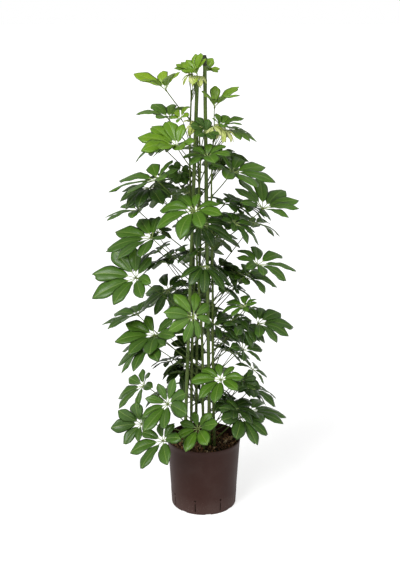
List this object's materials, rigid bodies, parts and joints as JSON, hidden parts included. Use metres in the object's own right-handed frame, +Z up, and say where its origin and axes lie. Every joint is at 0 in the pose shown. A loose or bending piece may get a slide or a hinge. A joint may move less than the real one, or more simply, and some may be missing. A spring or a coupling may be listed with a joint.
{
  "type": "potted umbrella plant",
  "caption": "Tall dwarf umbrella plant with hand-shaped leaves on staked stems, in a slotted round nursery pot filled with clay granules.",
  "frame": {"origin": "middle of the pot's foot, where its flat centre boss meets the surface that the pot stands on", "axes": "+Z up along the pot's axis, -Y towards the front of the plant, +X to the right seen from the front"},
  "size_m": [0.5465, 0.4887, 1.2744],
  "materials": {
    "pot_plastic": "moulded dark brown, matte with a faint sheen",
    "fired_clay": "rough unglazed reddish-brown",
    "stake_plastic": "dull olive green",
    "foliage": "smooth, waxy, slightly glossy leaf"
  },
  "bodies": {
    "root": {"pot": "pot_plastic", "clay_granules": "fired_clay", "stake_left": "stake_plastic", "stake_right": "stake_plastic", "leafy_stem_left": "foliage", "leafy_stem_middle": "foliage", "leafy_stem_right": "foliage", "leafy_stem_back_left": "foliage", "leafy_stem_back_right": "foliage"}
  },
  "joints": []
}
